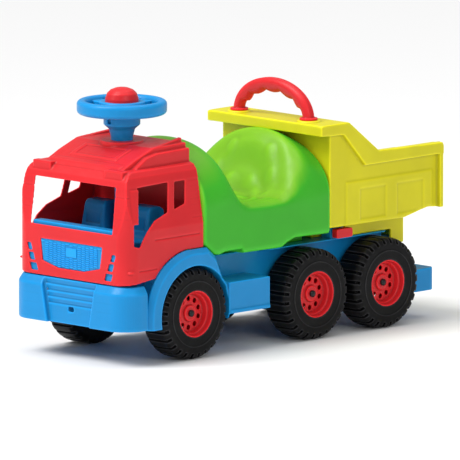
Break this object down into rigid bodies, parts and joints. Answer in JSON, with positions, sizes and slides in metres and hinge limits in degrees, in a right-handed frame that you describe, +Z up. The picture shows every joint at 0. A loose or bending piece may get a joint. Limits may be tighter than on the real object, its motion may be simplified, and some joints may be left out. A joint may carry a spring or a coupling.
{
  "type": "ride-on toy tipper truck",
  "caption": "Ride-on toy tipper truck: cab with roof steering wheel and horn, saddle body, tipping bed with carry handle, wheels on steel axles.",
  "frame": {"origin": "on the ground under the middle of the truck", "axes": "+Z up, -Y the way the truck faces, +X its left side"},
  "size_m": [0.28, 0.746, 0.438],
  "materials": {
    "blue_plastic": "satin moulded",
    "red_plastic": "satin moulded",
    "green_plastic": "satin blow-moulded",
    "yellow_plastic": "satin moulded",
    "black_tyre": "moulded tread",
    "black_cap": "glossy",
    "steel": "zinc plated"
  },
  "bodies": {
    "truck": {"chassis": "blue_plastic", "front_bumper": "blue_plastic", "mudguard_step_left": "blue_plastic", "mudguard_step_right": "blue_plastic", "rear_bumper": "blue_plastic", "cab_shell": "red_plastic", "front_insert": "blue_plastic", "cab_seats": "blue_plastic", "seat_body": "green_plastic", "body_screws": "steel", "axle_caps": "black_cap", "axle_front": "steel", "axle_middle": "steel", "axle_rear": "steel"},
    "steering": {"steering_column": "blue_plastic", "column_retainer": "steel", "steering_wheel": "blue_plastic", "horn_spring": "steel"},
    "horn": {"horn_button": "red_plastic"},
    "bed": {"tipper_bed": "yellow_plastic", "hinge_pin": "steel", "carry_handle": "red_plastic", "handle_screws": "steel"},
    "latch_left": {"latch_knob_left": "red_plastic"},
    "latch_right": {"latch_knob_right": "red_plastic"},
    "wheel_front_left": {"tyre_front_left": "black_tyre", "rim_front_left": "red_plastic"},
    "wheel_front_right": {"tyre_front_right": "black_tyre", "rim_front_right": "red_plastic"},
    "wheel_middle_left": {"tyre_middle_left": "black_tyre", "rim_middle_left": "red_plastic"},
    "wheel_middle_right": {"tyre_middle_right": "black_tyre", "rim_middle_right": "red_plastic"},
    "wheel_rear_left": {"tyre_rear_left": "black_tyre", "rim_rear_left": "red_plastic"},
    "wheel_rear_right": {"tyre_rear_right": "black_tyre", "rim_rear_right": "red_plastic"}
  },
  "joints": [
    {"name": "steering_turn", "type": "hinge", "parent": "truck", "child": "steering", "pos_m": [0, -0.247, 0.392], "axis": [0, 0, 1], "continuous": true},
    {"name": "horn_press", "type": "slide", "parent": "steering", "child": "horn", "axis": [0, 0, -1], "range_m": [0, 0.006], "stiffness_N_per_m": 300, "springref_m": -0.004, "deforming": ["horn_spring"]},
    {"name": "bed_tip", "type": "hinge", "parent": "truck", "child": "bed", "pos_m": [0, 0.29, 0.14], "axis": [-1, 0, 0], "range_deg": [0, 45]},
    {"name": "latch_left_press", "type": "slide", "parent": "truck", "child": "latch_left", "axis": [-1, 0, 0], "range_m": [0, 0.004], "stiffness_N_per_m": 250, "springref_m": -0.004},
    {"name": "latch_right_press", "type": "slide", "parent": "truck", "child": "latch_right", "axis": [1, 0, 0], "range_m": [0, 0.004], "stiffness_N_per_m": 250, "springref_m": -0.004},
    {"name": "wheel_front_left_spin", "type": "hinge", "parent": "truck", "child": "wheel_front_left", "pos_m": [0.1125, -0.215, 0.075], "axis": [1, 0, 0], "continuous": true},
    {"name": "wheel_front_right_spin", "type": "hinge", "parent": "truck", "child": "wheel_front_right", "pos_m": [-0.1125, -0.215, 0.075], "axis": [1, 0, 0], "continuous": true},
    {"name": "wheel_middle_left_spin", "type": "hinge", "parent": "truck", "child": "wheel_middle_left", "pos_m": [0.1125, 0.067, 0.075], "axis": [1, 0, 0], "continuous": true},
    {"name": "wheel_middle_right_spin", "type": "hinge", "parent": "truck", "child": "wheel_middle_right", "pos_m": [-0.1125, 0.067, 0.075], "axis": [1, 0, 0], "continuous": true},
    {"name": "wheel_rear_left_spin", "type": "hinge", "parent": "truck", "child": "wheel_rear_left", "pos_m": [0.1125, 0.233, 0.075], "axis": [1, 0, 0], "continuous": true},
    {"name": "wheel_rear_right_spin", "type": "hinge", "parent": "truck", "child": "wheel_rear_right", "pos_m": [-0.1125, 0.233, 0.075], "axis": [1, 0, 0], "continuous": true}
  ]
}
